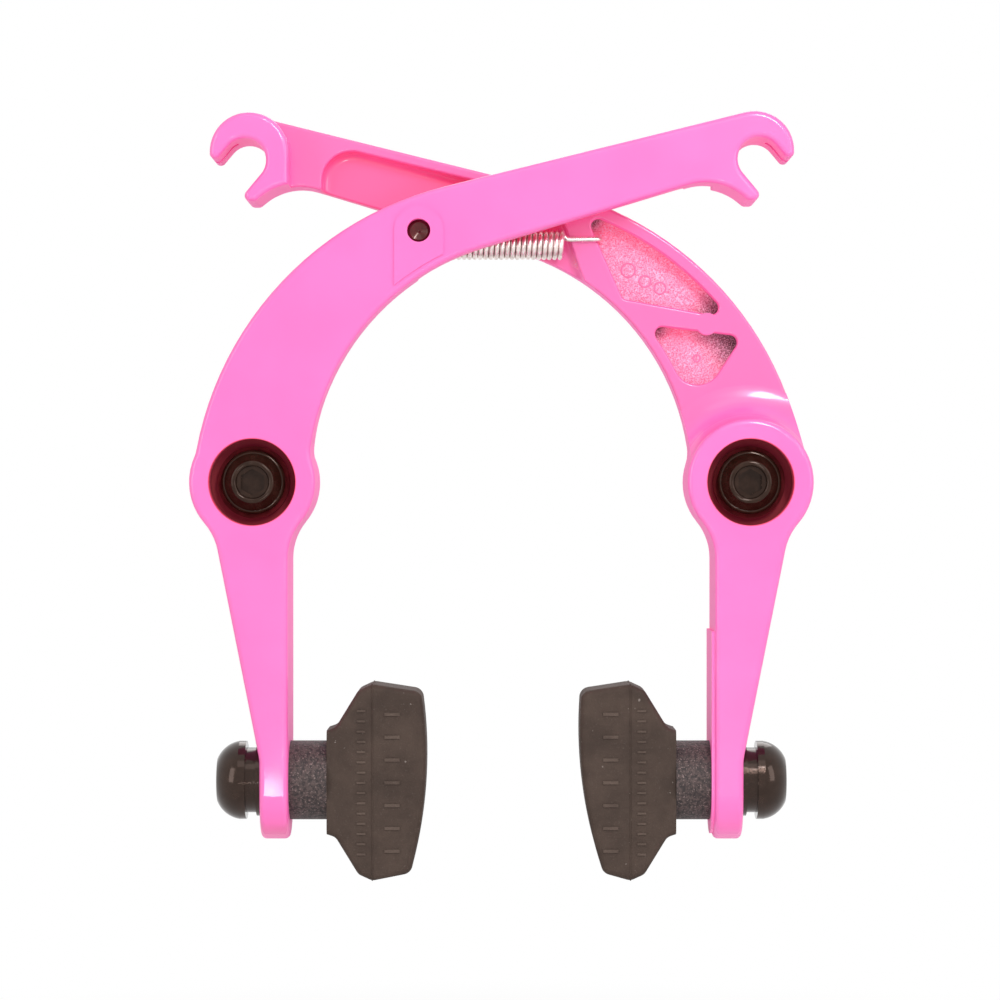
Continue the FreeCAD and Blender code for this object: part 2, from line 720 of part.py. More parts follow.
def pivot(side, across):
    """The pivot's bushings, sleeve, washer and bolt, stacked forward from the frame's seat."""
    sleeve_bore = "bolt_radius + bolt_clearance"
    sleeve_end = "(arm_depth - counterbore_depth + 2 * end_play)"
    bush_bore = "sleeve_radius + running_clearance"
    bush_end = "end_play + arm_depth - counterbore_depth"
    ring(f"{side}_pivot_sleeve", across, sleeve_bore, "sleeve_radius", "0", sleeve_end)
    ring(f"{side}_pivot_bushing_rear", across, bush_bore, f"{bush_bore} + bush_wall",
         "end_play", f"end_play + {BUSH_LENGTH}")
    ring(f"{side}_pivot_bushing_front", across, bush_bore, f"{bush_bore} + bush_wall",
         f"{bush_end} - {BUSH_LENGTH}", bush_end)
    ring(f"{side}_pivot_washer", across, sleeve_bore, "washer_radius",
         sleeve_end, f"{sleeve_end} + washer_depth")

    head_seat = f"({sleeve_end} + washer_depth)"
    head_end = f"({head_seat} + bolt_head_depth)"
    bolt = new_body(f"{side}_pivot_bolt", across)
    Drawing(bolt, f"{side}_bolt_outline", "XY_Plane").line([
        ("0", "bolt_reach"),
        ("0", f"bolt_dish_depth - {head_end}"),
        ("bolt_dish_radius", f"bolt_dish_depth - {head_end}"),
        ("bolt_dish_radius", f"bolt_lip_round - {head_end}", 1, "bolt_lip_round"),
        ("bolt_dish_radius + bolt_lip_round", f"-{head_end}", 1, "bolt_lip_round"),
        ("bolt_dish_radius + 2 * bolt_lip_round", f"bolt_lip_round - {head_end}"),
        ("bolt_head_radius - bolt_head_round", f"-{head_seat} - bolt_flange", 1, "bolt_head_round"),
        ("bolt_head_radius", f"bolt_head_round - {head_seat} - bolt_flange"),
        ("bolt_head_radius", f"-{head_seat}"),
        ("bolt_radius - bolt_waist", f"-{head_seat}"),
        ("bolt_radius - bolt_waist", "bolt_relief - bolt_waist"),
        ("bolt_radius", "bolt_relief"),
        ("bolt_radius", "bolt_reach - bolt_chamfer"),
        ("bolt_radius - bolt_chamfer", "bolt_reach"),
    ]).revolve(f"{side}_bolt_turn", "V_Axis")
    socket = Drawing(bolt, f"{side}_bolt_socket_outline", "XZ_Plane", f"{head_end} - bolt_dish_depth")
    socket.hexagon("0", "0", "bolt_hex").pocket(f"{side}_bolt_socket", "bolt_hex_depth")
    pieces.append(bolt)


# The pad's fastening, as places across the brake on the left side
ARM_OUTSIDE = "(leg_outer - pivot_spacing / 2)"
ARM_INSIDE = "(leg_inner - pivot_spacing / 2)"
LAND_INSIDE = f"({LAND_ACROSS} - pivot_spacing / 2)"
NECK = f"({LAND_INSIDE} + spacer_length)"
CUP = f"({ARM_OUTSIDE} - flat_washer_depth)"
NUT_SEAT = f"({CUP} - cup_washer_depth)"
POST_END = f"({NECK} + post_embed)"


def post_corners(start):
    """Half outline of the post from a start to the end of its head."""
    return [
        (start, "0"),
        (POST_END, "0"),
        (POST_END, "post_head_radius"),
        (f"{POST_END} - post_head_depth", "post_head_radius"),
        (f"{POST_END} - post_head_depth", "post_radius"),
        (start, "post_radius"),
    ]


def pad(side, turned):
    """The pad block on its post, with the spacer, washers and nut that clamp it to the arm."""

    def new_piece(name):
        pieces.append(new_body(f"{side}_{name}", "0", MID_DEPTH, "post_height", turned))
        return pieces[-1], f"{side}_{name}"

    bore = "post_radius + running_clearance"
    for name, left, right, radius in (
            ("pad_spacer", LAND_INSIDE if turned else ARM_INSIDE, NECK, "spacer_radius"),
            ("pad_washer", CUP, ARM_OUTSIDE, "pad_washer_radius"),
            ("pad_cup_washer", NUT_SEAT, CUP, "cup_washer_radius")):
        body, label = new_piece(name)
        Drawing(body, f"{label}_outline", "XY_Plane").rectangle(left, bore, right, radius).revolve(
            f"{label}_turn", "H_Axis")

    body, label = new_piece("pad_post")
    start = f"{NUT_SEAT} - nut_bore_depth"
    Drawing(body, f"{label}_outline", "XY_Plane").line(post_corners(start)).revolve(f"{label}_turn", "H_Axis")

    body, label = new_piece("pad_nut")
    Drawing(body, f"{label}_outline", "XY_Plane").line([
        (f"{NUT_SEAT} - nut_bore_depth", "0"),
        (f"{NUT_SEAT} - nut_bore_depth", "post_radius + thread_clearance"),
        (NUT_SEAT, "post_radius + thread_clearance"),
        (NUT_SEAT, "nut_radius"),
        (f"{NUT_SEAT} - nut_rim", "nut_radius", 1, "nut_dome"),
        (f"{NUT_SEAT} - nut_length", "nut_end_radius"),
        (f"{NUT_SEAT} - nut_length", "0"),
    ]).revolve(f"{label}_turn", "H_Axis")
    socket = Drawing(body, f"{label}_socket_outline", "YZ_Plane", f"{NUT_SEAT} - nut_length")
    socket.hexagon("0", "0", "nut_hex").pocket(f"{label}_socket", "nut_hex_depth", away=True)

    body, label = new_piece("pad_block")
    parting = f"{NECK} + pad_parting"
    face = f"{NECK} + pad_thickness"
    face_half = "(pad_length / 2 - pad_end_taper)"
    corners = [
        (NECK, "-pad_neck / 2"),
        (f"{NECK} + pad_shoulder", "-pad_neck / 2 - pad_shoulder_rise"),
        (f"{NECK} + pad_flare", "pad_flare_drop - pad_length / 2"),
        (parting, "-pad_length / 2"),
        (f"{face} - 2 * {face_half} * tan({side}_pad_lean_angle)", f"-{face_half}", 1, "pad_crown"),
        (face, face_half),
        (parting, "pad_length / 2"),
        (f"{NECK} + pad_flare", "pad_length / 2 - pad_flare_drop"),
        (f"{NECK} + pad_shoulder", "pad_neck / 2 + pad_shoulder_rise"),
        (NECK, "pad_neck / 2"),
    ]
    Drawing(body, f"{label}_outline", "XZ_Plane", "-pad_width / 2").line(corners).pad(
        f"{label}_mould", "pad_width")
    outer = [numbers(corner) for corner in corners[1:-1]]
    round_edges(body, f"{label}_corners", "pad_corner", lambda edge: runs_deep(edge, outer))
    half = value("pad_width / 2")
    neck = value(NECK)

    def rim(edge):
        spots = along(edge)
        across = all(abs(abs(spot.y) - half) < 1e-4 for spot in spots)
        return across and max(spot.x for spot in spots) > neck + 1e-4

    round_edges(body, f"{label}_edges", "pad_round", rim)
    cavity = Drawing(body, f"{label}_cavity_outline", "XY_Plane")
    cavity.line(post_corners(NECK)).groove(f"{label}_cavity", "H_Axis")


for side, sign in (("left", "-"), ("right", "")):
    pivot(side, f"{sign}pivot_spacing / 2")
    pad(side, side == "right")


def anchor(side):
    """Place across the arm where the spring's end drops into the recess, at the wire's height."""
    top = on_outer_rim(f"{side}_anchor_start_angle")
    foot = on_inner_rim(f"{side}_anchor_foot_angle")
    share = f"(({top[1]}) - {SPRING_HEIGHT} - wire_rise) / (({top[1]}) - ({foot[1]}))"
    return f"{top[0]} + ({foot[0]} - ({top[0]})) * {share} - wire_radius - wire_gap"


spring = new_body("return_spring", "0", MID_DEPTH, SPRING_HEIGHT)
coil_radius = "(spring_radius - wire_radius)"
coil_end = "coil_length / 2"
coil = Drawing(spring, "coil_outline", "XZ_Plane").circle(f"-{coil_end}", coil_radius, "wire_radius")
helix = coil.feature("PartDesign::AdditiveHelix", "coil", ReferenceAxis=(coil.sketch, ["H_Axis"]),
                     Mode="pitch-turns-angle", Angle=0)
helix.setExpression("Pitch", cells("coil_pitch"))
helix.setExpression("Turns", cells("coil_length / coil_pitch"))
fall = f"({coil_radius} - wire_rise)"
for side, sign in (("left", -1), ("right", 1)):
    out = f"{sign}"
    neck = Drawing(spring, f"{side}_neck_path", "XZ_Plane").line([
        (f"{out} * ({coil_end})", coil_radius, sign, fall),
        (f"{out} * ({coil_end} + {fall})", "wire_rise"),
    ], closed=False)
    start = Drawing(spring, f"{side}_neck_outline", "XY_Plane", coil_radius)
    start.circle(f"{out} * ({coil_end})", "0", "wire_radius").sweep(f"{side}_neck", neck)
    reach = f"(pivot_spacing / 2 - ({anchor(side)}))"
    hook = Drawing(spring, f"{side}_hook_path", "XY_Plane", "wire_rise").line([
        (f"{out} * ({coil_end} + {fall})", "0"),
        (f"{out} * ({reach} - wire_bend)", "0", 1, "wire_bend"),
        (f"{out} * {reach}", f"{out} * wire_bend"),
        (f"{out} * {reach}", f"{out} * (wire_bend + wire_drop)"),
    ], closed=False)
    end = Drawing(spring, f"{side}_hook_outline", "YZ_Plane", f"{out} * ({coil_end} + {fall})")
    end.circle("0", "wire_rise", "wire_radius").sweep(f"{side}_hook", hook)
pieces.append(spring)
doc.recompute()


def check(bodies):
    """Stop if any object failed or any piece has no sound solid."""
    for item in doc.Objects:
        if "Invalid" in item.State or "Error" in item.State:
            raise RuntimeError(f"{item.Label} failed: {item.State}")
    for body in bodies:
        if body.Shape.isNull() or not body.Shape.isValid() or len(body.Shape.Solids) != 1:
            raise RuntimeError(f"{body.Label} has no valid shape")


check(pieces)
os.makedirs("parts", exist_ok=True)
for body in pieces:
    body.Shape.exportStep(f"parts/{body.Label}.step")
    print(body.Label, round(body.Shape.Volume, 1), body.Shape.BoundBox)
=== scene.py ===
"""Looks of the u-brake: gloss-coated cast arms with rough recesses, black pivot bolts and pad nuts,
rubber pads with their mould marks, and the bright return spring. Metres, in the part's own frame."""

import math

import bmesh
import bpy
from mathutils import Matrix, Vector


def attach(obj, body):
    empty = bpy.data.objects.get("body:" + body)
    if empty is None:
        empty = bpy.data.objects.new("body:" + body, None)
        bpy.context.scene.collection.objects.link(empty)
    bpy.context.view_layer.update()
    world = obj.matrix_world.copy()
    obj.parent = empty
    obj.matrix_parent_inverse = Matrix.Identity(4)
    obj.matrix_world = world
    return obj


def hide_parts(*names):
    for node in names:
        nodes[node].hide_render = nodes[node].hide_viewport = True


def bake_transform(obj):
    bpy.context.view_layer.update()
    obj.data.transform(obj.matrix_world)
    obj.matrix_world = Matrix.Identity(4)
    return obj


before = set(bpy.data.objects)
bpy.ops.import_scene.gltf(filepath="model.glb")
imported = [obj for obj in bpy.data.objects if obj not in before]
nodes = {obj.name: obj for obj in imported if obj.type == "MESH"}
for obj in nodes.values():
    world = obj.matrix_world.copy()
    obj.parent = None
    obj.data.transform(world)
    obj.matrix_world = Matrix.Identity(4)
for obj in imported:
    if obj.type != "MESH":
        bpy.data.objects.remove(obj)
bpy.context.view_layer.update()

MM = 0.001
SIDES = (("left", -1), ("right", 1))
WHITE = (1.0, 1.0, 1.0)
BLACK = (0.0, 0.0, 0.0)

# Sizes shared with the solids, in millimetres
PIVOT_ACROSS = 42.5
MID_DEPTH = -8.2
WEB_GAP = 1.2
RECESS_DEPTH = 3.4
COUNTERBORE_RADIUS = 7.4
ARM_FRONT = -16.2
INNER_ARCH = (51.6, -0.1, 42.0)
OUTER_ARCH = (46.5, -4.9, 57.0)
TOP_LINE = (32.8, 50.4, math.radians(13.9))
OUTER_RIM = (1.6, 2.1)
INNER_RIM = (1.2, 1.7)

# Colours of the arm's coat; a pair is mixed by its noise or its depth. The web, channel, counterbore
# and recess-end colours are painted shade, the glow painted light
COAT_PINK = ((0.95, 0.170, 0.535), (0.97, 0.184, 0.565))
# Painted shade: the web's inner face is painted darker, as if the other arm shades it
WEB_SHADE_PINK = (0.88, 0.157, 0.445)
# Painted shade: the spring channel's deeper pink stands for light bounced inside the hollow
CHANNEL_SHADE_PINK = (1.0, 0.120, 0.330)
# Painted shade in the counterbore: painted lighter near its lit front edge, dark deeper in
COUNTERBORE_SHADE = ((0.85, 0.055, 0.130), (0.20, 0.006, 0.011))
CAST_PINK = ((0.86, 0.145, 0.300), (1.00, 0.440, 0.660))
CAST_SPECK = (1.0, 0.66, 0.86)
# Painted shade at the recess ends, broken up by the grain
SHADED_CAST_TONES = ((0.035, 0.010, 0.014), (0.42, 0.17, 0.23))
# Painted glow: the coat emits this faintly to lift its shade; it is no lamp
PAINTED_GLOW = (0.12, 0.004, 0.018)


class Wire:
    """An output of a node; sums on it add the nodes that work them out."""

    def __init__(self, tree, socket):
        self.tree = tree
        self.socket = socket

    def maths(self, operation, *others):
        inputs = dict(enumerate((self,) + others))
        return self.tree.node("ShaderNodeMath", {"operation": operation}, inputs)

    def __add__(self, other):
        return self.maths("ADD", other)

    __radd__ = __add__

    def __mul__(self, other):
        return self.maths("MULTIPLY", other)

    __rmul__ = __mul__

    def __sub__(self, other):
        return self.maths("SUBTRACT", other)

    def __rsub__(self, other):
        return self * -1.0 + other

    def __pow__(self, other):
        return self.maths("POWER", other)

    def __abs__(self):
        return self.maths("ABSOLUTE")

    def most(self, other):
        return self.maths("MAXIMUM", other)

    def between(self, low, high):
        """0 below low, 1 above high and smooth between; with high under low it falls."""
        return self.tree.node("ShaderNodeMapRange", {"interpolation_type": "SMOOTHSTEP"}, {
            "Value": self, "From Min": min(low, high), "From Max": max(low, high),
            "To Min": 0.0 if low < high else 1.0, "To Max": 1.0 if low < high else 0.0})

    def parts(self):
        """The three parts of a vector."""
        split = self.tree.node("ShaderNodeSeparateXYZ", inputs={0: self}).socket.node
        return [Wire(self.tree, output) for output in split.outputs]


class Tree:
    """The nodes of a material or of the surroundings."""

    def __init__(self, tree):
        self.tree = tree

    def node(self, kind, settings=None, inputs=None, output=0):
        made = self.tree.nodes.new(kind)
        for key, setting in (settings or {}).items():
            setattr(made, key, setting)
        for key, value in (inputs or {}).items():
            self.feed(made.inputs[key], value)
        return Wire(self, made.outputs[output])

    def feed(self, socket, value):
        if isinstance(value, Wire):
            self.tree.links.new(value.socket, socket)
        else:
            socket.default_value = (*value, 1) if socket.type == "RGBA" else value

    def seen_directly(self):
        """1 for rays that show the surroundings: to the camera, off gloss or through glass."""
        camera, gloss, glass = (self.node("ShaderNodeLightPath", output=f"Is {kind} Ray")
                                for kind in ("Camera", "Glossy", "Transmission"))
        return camera.most(gloss).most(glass)


class Finish(Tree):
    """A material with one Principled shader."""

    def __init__(self, name):
        self.material = bpy.data.materials.new(name)
        self.material.use_nodes = True
        super().__init__(self.material.node_tree)
        self.shader = self.tree.nodes["Principled BSDF"]

    def set(self, **sockets):
        for name, value in sockets.items():
            self.feed(self.shader.inputs[name.replace("_", " ")], value)

    def place(self):
        """The object's own coordinates, in metres, which move with it."""
        return self.node("ShaderNodeTexCoord", output="Object")

    def noise(self, size, detail=3.0, roughness=0.55):
        """Noise from 0 to 1 with grains of about that size in millimetres."""
        return self.node("ShaderNodeTexNoise", inputs={
            "Vector": self.place(), "Scale": 1 / (size * MM), "Detail": detail, "Roughness": roughness})

    def mix(self, share, first, second):
        inputs = {0: share, 6: first, 7: second}
        return self.node("ShaderNodeMix", {"data_type": "RGBA"}, inputs, output=2)

    def bump(self, height, deep):
        """A normal from a height of 0 to 1 that stands for that many millimetres."""
        return self.node("ShaderNodeBump", inputs={"Height": height, "Distance": deep * MM})


def far_from(across, height, centre):
    """Distance from a place in the arm's own across and height."""
    return ((across - centre[0]) ** 2.0 + (height - centre[1]) ** 2.0) ** 0.5


def within(value, rise, fall):
    """1 where a value is past its rise and short of its fall."""
    return value.between(*rise) * value.between(*fall)


def coated_arm(side, sign, shaded_places):
    """Gloss pink coat with a painted glow that lifts its shade; painted shade in the counterbore, on
    the web and in the channel; speckled rough cast floors in the recesses, with painted shade at their
    ends."""
    finish = Finish(f"{side}_arm_coat")
    x, y, z = (part * 1000.0 for part in finish.place().parts())
    across = PIVOT_ACROSS - x * sign
    from_pivot = far_from(across, z, (0.0, 0.0))
    sunk = (y - MID_DEPTH) * sign - WEB_GAP / 2
    slope = TOP_LINE[2]
    below_top = (across - TOP_LINE[0]) * math.sin(slope) - (z - TOP_LINE[1]) * math.cos(slope)
    facing = abs(finish.node("ShaderNodeTexCoord", output="Normal").parts()[1]).between(0.1, 0.6)

    recess = (far_from(across, z, OUTER_ARCH).between(*(OUTER_ARCH[2] - rim for rim in OUTER_RIM))
              * far_from(across, z, INNER_ARCH).between(*(INNER_ARCH[2] + rim for rim in INNER_RIM))
              * within(sunk, (1.2, 2.6), (4.6, 4.0))
              * across.between(30.5, 29.5) * z.between(4.0, 6.0) * from_pivot.between(12.0, 12.5))
    # Painted shade on the web's inner face, where the other arm shades it
    web_shade = facing * within(sunk, (-2.0, 0.0), (6.0, 4.8))
    # Painted shade in the spring channel
    channel_shade = (within(across, (31.5, 36.0), (74.5, 73.0)) * below_top.between(0.9, 1.5)
               * within(sunk, (0.3, 1.6), (4.8, 4.4)))
    counterbore = (from_pivot.between(COUNTERBORE_RADIUS + 0.2, COUNTERBORE_RADIUS + 0.02)
                   * y.between(-8.0, -9.5))

    grain = finish.noise(0.25, 2.0, 0.75)
    speck = finish.noise(0.50, 1.0)
    # Painted shade: the recess floor darkens towards its ends
    end_shade = 0.0
    for place in shaded_places:
        end_shade = far_from(across, z, place[:2]).between(place[2], 1.0).most(end_shade)
    cast = finish.mix(grain.between(0.34, 0.62), *CAST_PINK)
    cast = finish.mix(speck.between(0.56, 0.72) * 0.6, cast, CAST_SPECK)
    shaded_cast = finish.mix(grain.between(0.42, 0.66), *SHADED_CAST_TONES)
    cast = finish.mix(end_shade * grain.between(0.90, 0.38), cast, shaded_cast)

    cloud = finish.noise(14.0, 2.0)
    coat = finish.mix(cloud.between(0.3, 0.7), *COAT_PINK)
    coat = finish.mix(web_shade, coat, WEB_SHADE_PINK)
    coat = finish.mix(channel_shade * 0.75, coat, CHANNEL_SHADE_PINK)
    # Painted shade inside the counterbore, by depth from the front
    bore_shade = finish.mix(y.between(ARM_FRONT + 0.3, ARM_FRONT + 4.5), *COUNTERBORE_SHADE)
    coat = finish.mix(counterbore, coat, bore_shade)
    # The painted glow is cut at the recess ends and in the counterbore, leaving them darker: painted
    # shade
    dull = (end_shade * recess * 1.5).most(counterbore * 0.7)
    peel = finish.noise(1.6, 2.0, 0.4)
    finish.set(Base_Color=finish.mix(recess, coat, cast),
               Roughness=0.50 - 0.27 * facing + 0.04 * cloud + recess * 0.36 + counterbore * 0.45,
               Coat_Weight=facing * (0.5 - recess * 0.5) * (1 - counterbore),
               Emission_Color=finish.mix(dull, PAINTED_GLOW, BLACK),
               Normal=finish.bump(peel * (1 - recess) * 0.06 + grain * recess, 0.09),
               Coat_Roughness=0.06, Emission_Strength=1.0)
    return finish.material


def plain_coat(name, tone):
    """The arm's coat as it lies on a small raised mark."""
    finish = Finish(name)
    cloud = finish.noise(1.2)
    colour = finish.mix(cloud, tone, [part * 0.9 for part in tone])
    finish.set(Base_Color=colour, Roughness=0.35 + 0.1 * cloud)
    return finish.material


def black_steel(name, tone, roughness, coat, shine):
    """Blackened steel with fine rubbed marks."""
    finish = Finish(name)
    cloud = finish.noise(2.2, 4.0)
    rub = finish.noise(0.25)
    colour = finish.mix(cloud.between(0.35, 0.75), tone, [part * 1.8 + 0.004 for part in tone])
    finish.set(Base_Color=colour, Roughness=roughness + 0.14 * rub.between(0.4, 0.8),
               Normal=finish.bump(rub, 0.008), Coat_Weight=coat, Coat_Roughness=0.06,
               Specular_IOR_Level=shine, Specular_Tint=(1.0, 0.66, 0.54))
    return finish.material


def plated_steel(name, tone, roughness):
    """Plain plated steel, slightly clouded."""
    finish = Finish(name)
    cloud = finish.noise(1.5, 4.0)
    colour = finish.mix(cloud.between(0.3, 0.7), tone, [part * 0.8 for part in tone])
    finish.set(Base_Color=colour, Metallic=1.0, Roughness=roughness + 0.14 * cloud,
               Normal=finish.bump(finish.noise(0.18, 2.0), 0.008))
    return finish.material


def rough_spacer():
    """Coarse black coat with pale specks on its grains."""
    finish = Finish("rough_black_coat")
    grain = finish.noise(0.55, 3.0, 0.65)
    speck = finish.noise(0.30, 1.0)
    colour = finish.mix(grain.between(0.38, 0.64), (0.020, 0.013, 0.013), (0.088, 0.058, 0.054))
    colour = finish.mix(speck.between(0.60, 0.72), colour, (0.24, 0.17, 0.16))
    finish.set(Base_Color=colour, Roughness=0.62, Normal=finish.bump(grain, 0.22))
    return finish.material


def pad_rubber(name, dark, pale):
    """Moulded dull rubber: brown-black, dusty in places, with fine grain."""
    finish = Finish(name)
    cloud = finish.noise(7.0, 4.0, 0.6)
    grain = finish.noise(0.35, 3.0, 0.6)
    dust = finish.noise(0.8, 2.0)
    colour = finish.mix(cloud.between(0.3, 0.7), dark, pale)
    colour = finish.mix(grain.between(0.60, 0.75) * 0.3, colour, (0.14, 0.11, 0.095))
    colour = finish.mix(dust.between(0.73, 0.78) * 0.5, colour, (0.40, 0.34, 0.31))
    finish.set(Base_Color=colour, Roughness=0.60 + 0.2 * cloud, Normal=finish.bump(grain, 0.05),
               Specular_IOR_Level=0.3)
    return finish.material


def spring_wire():
    """Bright drawn wire with a little tarnish."""
    finish = Finish("bright_wire")
    cloud = finish.noise(0.9)
    colour = finish.mix(cloud.between(0.35, 0.75), (0.96, 0.86, 0.83), (0.68, 0.57, 0.54))
    finish.set(Base_Color=colour, Metallic=1.0, Roughness=0.20 + 0.18 * cloud,
               Normal=finish.bump(finish.noise(0.12), 0.006))
    return finish.material


def bushing_painted_shade():
    """Dull plastic, coloured dark red as painted shade of the counterbore it sits in."""
    finish = Finish("bushing_painted_shade")
    cloud = finish.noise(0.8)
    finish.set(Base_Color=finish.mix(cloud, (0.095, 0.004, 0.007), (0.135, 0.007, 0.011)),
               Roughness=0.65 + 0.2 * cloud, Specular_IOR_Level=0.05)
    return finish.material


def dress(node, material):
    mesh = nodes[node].data
    mesh.materials.clear()
    mesh.materials.append(material)


# Where painted shade darkens the recess ends: across, height and reach
SHADED_ENDS = ((3.0, 28.4, 8.5), (0.8, 25.3, 9.0), (17.5, 27.4, 5.0))
SHADED_START = {"left": (24.2, 45.2, 4.5), "right": (28.1, 46.7, 4.5)}
arm_coat = {side: coated_arm(side, sign, (*SHADED_ENDS, SHADED_START[side])) for side, sign in SIDES}
ring_coat = plain_coat("mould_ring_coat", (0.97, 0.22, 0.46))
bolt_black = black_steel("bolt_black", (0.016, 0.007, 0.004), 0.10, 0.15, 0.25)
nut_black = black_steel("nut_black", (0.010, 0.005, 0.003), 0.08, 0.22, 0.4)
# Black washer tinted dark red: painted shade and painted pink reflection from the counterbore around it
washer_painted_reflection = black_steel("washer_black_painted_reflection", (0.080, 0.004, 0.008), 0.40, 0.0, 0.08)
# Blackened pin tinted dark red: painted pink reflection and shade from the hole around it
pin_black_painted_reflection = black_steel("pin_black_painted_reflection", (0.070, 0.007, 0.011), 0.12, 0.3, 0.3)
post_steel = plated_steel("post_steel", (0.55, 0.54, 0.53), 0.30)
rubber = pad_rubber("pad_rubber", (0.044, 0.027, 0.020), (0.072, 0.047, 0.036))
# Paler rubber on the raised bars: painted highlight standing for the light their relief catches
bar_painted_highlight_rubber = pad_rubber("bar_painted_highlight_rubber", (0.070, 0.046, 0.036), (0.115, 0.080, 0.064))
spacer_coat = rough_spacer()
bushing = bushing_painted_shade()
wire = spring_wire()
for side, sign in SIDES:
    for part, material in (
            ("arm", arm_coat[side]), ("pivot_bolt", bolt_black), ("pivot_washer", washer_painted_reflection),
            ("pivot_sleeve", post_steel), ("pivot_bushing_front", bushing),
            ("pivot_bushing_rear", bushing),
            ("pad_block", rubber), ("pad_post", post_steel), ("pad_spacer", spacer_coat),
            ("pad_washer", nut_black), ("pad_cup_washer", nut_black), ("pad_nut", nut_black)):
        dress(f"{side}_{part}", material)
dress("spring_pin", pin_black_painted_reflection)


def new_piece(name, build, material, body=None):
    """A piece from a finished bmesh, with its finish and the body it rides on."""
    mesh = bpy.data.meshes.new(name)
    build.to_mesh(mesh)
    build.free()
    mesh.materials.append(material)
    piece = bpy.data.objects.new(name, mesh)
    bpy.context.scene.collection.objects.link(piece)
    if body:
        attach(piece, body)
    return piece


def tube(path, radius, closed=False, sides=12):
    """A smooth tube along points in millimetres, round to its start again or capped at both ends."""
    points = [Vector(point) * MM for point in path]
    turns = [turn * math.tau / sides for turn in range(sides)]
    build = bmesh.new()
    up = (points[1] - points[0]).orthogonal()
    rings = []
    for index, point in enumerate(points):
        before = points[index - 1 if closed else max(index - 1, 0)]
        after = points[(index + 1) % len(points) if closed else min(index + 1, len(points) - 1)]
        ahead = (after - before).normalized()
        up = (up - ahead * up.dot(ahead)).normalized()
        aside = ahead.cross(up)
        spokes = [up * math.cos(turn) + aside * math.sin(turn) for turn in turns]
        rings.append([build.verts.new(point + radius * MM * spoke) for spoke in spokes])
    for ring, following in zip(rings, rings[1:] + rings[:closed]):
        for turn in range(sides):
            step = (turn + 1) % sides
            build.faces.new((ring[turn], ring[step], following[step], following[turn])).smooth = True
    if not closed:
        build.faces.new(reversed(rings[0]))
        build.faces.new(rings[-1])
    return build


# Return spring, in two halves, one for each end
SPRING_HEIGHT = 41.0
COIL_RADIUS = 2.17
WIRE_RADIUS = 0.43
WIRE_RISE = 1.0
COIL_PITCH = 0.92
HALF_COIL = 10.58
COIL_STEPS = 28
ANCHORS = {"left": 19.77, "right": 17.10}
WIRE_BEND = 0.9
BEND_STEPS = 8
TAIL_LENGTHS = (1.2, 2.4)


def half_spring(side, sign):
    """Half of the coil from the middle out, then the neck and the straight hooked end."""
    half_turns = HALF_COIL / COIL_PITCH
    count = round(half_turns * COIL_STEPS)
    wire_height = SPRING_HEIGHT + WIRE_RISE
    path = []
    for step in range(count + 1):
        out = HALF_COIL * step / count
        turn = math.tau * (half_turns - out / COIL_PITCH) * -sign
        path.append((sign * out, MID_DEPTH + COIL_RADIUS * math.sin(turn),
                     SPRING_HEIGHT + COIL_RADIUS * math.cos(turn)))
    fall = COIL_RADIUS - WIRE_RISE
    straight = ANCHORS[side] - WIRE_BEND
    quarter = [math.pi / 2 * step / BEND_STEPS for step in range(1, BEND_STEPS + 1)]
    for angle in quarter:
        path.append((sign * (HALF_COIL + fall * (1 - math.cos(angle))), MID_DEPTH,
                     SPRING_HEIGHT + COIL_RADIUS - fall * math.sin(angle)))
    path.append((sign * (HALF_COIL + fall + straight) / 2, MID_DEPTH, wire_height))
    path.append((sign * straight, MID_DEPTH, wire_height))
    for angle in quarter:
        path.append((sign * (straight + WIRE_BEND * math.sin(angle)),
                     MID_DEPTH + sign * WIRE_BEND * (1 - math.cos(angle)), wire_height))
    for length in TAIL_LENGTHS:
        path.append((sign * ANCHORS[side], MID_DEPTH + sign * (WIRE_BEND + length), wire_height))
    piece = new_piece(f"spring_{side}_half", tube(path, WIRE_RADIUS), wire)
    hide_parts("return_spring")
    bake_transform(piece)


# Plain mould rings on the floors of the recesses: across the brake, height and radius
MOULD_RINGS = ((22.1, 36.9, 1.2), (25.0, 35.0, 1.0), (27.6, 33.8, 1.0), (34.0, 21.6, 0.6))
RING_STEPS = 32
RING_THICKNESS = 0.16


def mould_rings(side, sign):
    floor = MID_DEPTH + sign * (WEB_GAP / 2 + RECESS_DEPTH)
    turns = [step * math.tau / RING_STEPS for step in range(RING_STEPS)]
    for number, (across, height, radius) in enumerate(MOULD_RINGS, start=1):
        path = [(sign * (across + radius * math.cos(turn)), floor, height + radius * math.sin(turn))
                for turn in turns]
        new_piece(f"{side}_mould_ring_{number}", tube(path, RING_THICKNESS, closed=True), ring_coat,
                  f"{side}_arm")


# Mould marks of the pads
PARTING_ACROSS = 22.1
PAD_HEIGHT = -51.4
PAD_FACES = (-14.2, -2.2)
RIDGE_RADIUS = 0.14
MARK_RISE = 0.22
# Rows of bars: across the brake, count, pitch, and each bar's length and height
BAR_ROWS = ((24.0, 15, 1.75, 1.5, 0.35), (18.7, 7, 3.9, 2.6, 0.55))


